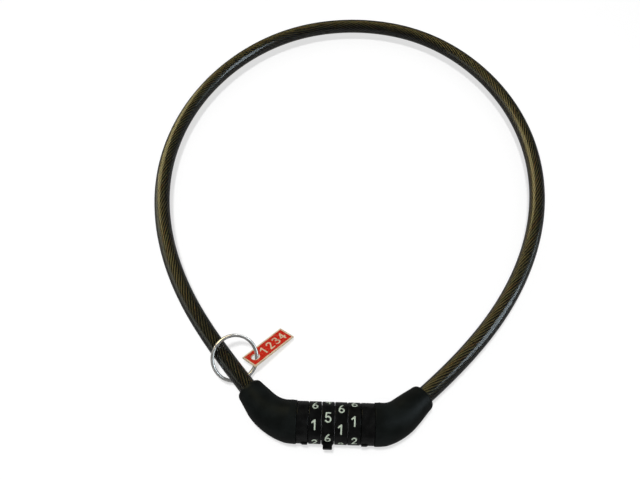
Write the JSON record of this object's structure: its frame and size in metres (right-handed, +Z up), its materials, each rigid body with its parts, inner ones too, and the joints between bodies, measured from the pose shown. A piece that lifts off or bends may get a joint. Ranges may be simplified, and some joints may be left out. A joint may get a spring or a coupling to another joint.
{
  "type": "cable combination lock",
  "caption": "Loop of sheathed steel rope that a sliding plug closes into a barrel of numbered code dials, with a split ring and a number tag on the cable.",
  "frame": {"origin": "on the barrel's axis at the middle of the dial stack", "axes": "+X along the barrel towards the plug that pulls out, +Y across the cable loop, +Z up off the table"},
  "size_m": [0.2637, 0.3378, 0.0234],
  "materials": {
    "steel": "turned steel, bright",
    "gate_brass": "plain brass, turned",
    "dial_black": "moulded gloss black with pale green-white numerals",
    "collar_black": "moulded gloss black",
    "boot_rubber": "soft satin black rubber",
    "sheath_pvc": "clear smoky PVC, glossy",
    "rope_steel": "twisted steel strands",
    "ring_steel": "nickel-plated wire",
    "tag_brass": "pale brass, bright",
    "tag_red": "gloss red enamel"
  },
  "bodies": {
    "barrel": {"lock_tube": "steel", "friction_washers": "steel", "collar_left": "collar_black", "collar_right": "collar_black", "roll_pins": "steel", "cable_ferrule": "steel", "boot_left": "boot_rubber", "sheath_1": "sheath_pvc", "rope_1": "rope_steel"},
    "wheel_1": {"dial_1": "dial_black", "gate_ring_1": "gate_brass"},
    "wheel_2": {"dial_2": "dial_black", "gate_ring_2": "gate_brass"},
    "wheel_3": {"dial_3": "dial_black", "gate_ring_3": "gate_brass"},
    "wheel_4": {"dial_4": "dial_black", "gate_ring_4": "gate_brass"},
    "plug": {"plug_bolt": "steel", "boot_right": "boot_rubber", "sheath_10": "sheath_pvc", "rope_10": "rope_steel"},
    "cable_2": {"sheath_2": "sheath_pvc", "rope_2": "rope_steel"},
    "cable_3": {"sheath_3": "sheath_pvc", "rope_3": "rope_steel"},
    "cable_4": {"sheath_4": "sheath_pvc", "rope_4": "rope_steel"},
    "cable_5": {"sheath_5": "sheath_pvc", "rope_5": "rope_steel"},
    "cable_6": {"sheath_6": "sheath_pvc", "rope_6": "rope_steel"},
    "cable_7": {"sheath_7": "sheath_pvc", "rope_7": "rope_steel"},
    "cable_8": {"sheath_8": "sheath_pvc", "rope_8": "rope_steel"},
    "cable_9": {"sheath_9": "sheath_pvc", "rope_9": "rope_steel"},
    "ring": {"split_ring": "ring_steel"},
    "tag": {"tag_plate": "tag_brass", "tag_enamel": "tag_red"}
  },
  "joints": [
    {"name": "dial_turn_1", "type": "hinge", "parent": "barrel", "child": "wheel_1", "pos_m": [-0.01065, 0, 0], "axis": [1, 0, 0], "continuous": true},
    {"name": "dial_turn_2", "type": "hinge", "parent": "barrel", "child": "wheel_2", "pos_m": [-0.00355, 0, 0], "axis": [1, 0, 0], "continuous": true},
    {"name": "dial_turn_3", "type": "hinge", "parent": "barrel", "child": "wheel_3", "pos_m": [0.00355, 0, 0], "axis": [1, 0, 0], "continuous": true},
    {"name": "dial_turn_4", "type": "hinge", "parent": "barrel", "child": "wheel_4", "pos_m": [0.01065, 0, 0], "axis": [1, 0, 0], "continuous": true},
    {"name": "plug_slide", "type": "slide", "parent": "barrel", "child": "plug", "axis": [1, 0, 0], "range_m": [0, 0.04]},
    {"name": "cable_flex_1", "type": "hinge", "parent": "barrel", "child": "cable_2", "pos_m": [-0.09183, 0.073, 0], "axis": [0, 0, 1], "range_deg": [-6.4, 0.1]},
    {"name": "cable_flex_2", "type": "hinge", "parent": "cable_2", "child": "cable_3", "pos_m": [-0.12015, 0.15965, 0], "axis": [0, 0, 1], "range_deg": [-0.1, 1.4]},
    {"name": "cable_flex_3", "type": "hinge", "parent": "cable_3", "child": "cable_4", "pos_m": [-0.09976, 0.24832, 0], "axis": [0, 0, 1], "range_deg": [-0.1, 2.7]},
    {"name": "cable_flex_4", "type": "hinge", "parent": "cable_4", "child": "cable_5", "pos_m": [-0.03285, 0.30941, 0], "axis": [0, 0, 1], "range_deg": [-0.1, 3]},
    {"name": "cable_flex_5", "type": "hinge", "parent": "cable_5", "child": "cable_6", "pos_m": [0.05639, 0.30863, 0], "axis": [0, 0, 1], "range_deg": [-0.1, 2.8]},
    {"name": "cable_flex_6", "type": "hinge", "parent": "cable_6", "child": "cable_7", "pos_m": [0.11929, 0.24395, 0], "axis": [0, 0, 1], "range_deg": [-0.1, 2.2]},
    {"name": "cable_flex_7", "type": "hinge", "parent": "cable_7", "child": "cable_8", "pos_m": [0.13182, 0.15366, 0], "axis": [0, 0, 1], "range_deg": [-0.1, 1]},
    {"name": "cable_flex_8", "type": "hinge", "parent": "cable_8", "child": "cable_9", "pos_m": [0.09727, 0.06922, 0], "axis": [0, 0, 1], "range_deg": [-6.1, 0.1]},
    {"name": "ring_swing", "type": "hinge", "parent": "barrel", "child": "ring", "pos_m": [-0.06203, 0.03314, 0], "axis": [-0.6419, 0.7668, 0], "range_deg": [-10, 30]},
    {"name": "tag_swing", "type": "hinge", "parent": "ring", "child": "tag", "pos_m": [-0.04657, 0.03817, -0.00372], "axis": [-0.0381, 0.8986, 0.4372], "range_deg": [-15, 25]}
  ],
  "couplings": [
    {"joint": "cable_flex_1", "follows": "plug_slide", "rad_per_m": -2.73},
    {"joint": "cable_flex_2", "follows": "plug_slide", "rad_per_m": 0.564},
    {"joint": "cable_flex_3", "follows": "plug_slide", "rad_per_m": 1.108},
    {"joint": "cable_flex_4", "follows": "plug_slide", "rad_per_m": 1.239},
    {"joint": "cable_flex_5", "follows": "plug_slide", "rad_per_m": 1.143},
    {"joint": "cable_flex_6", "follows": "plug_slide", "rad_per_m": 0.906},
    {"joint": "cable_flex_7", "follows": "plug_slide", "rad_per_m": 0.364},
    {"joint": "cable_flex_8", "follows": "plug_slide", "rad_per_m": -2.594}
  ]
}
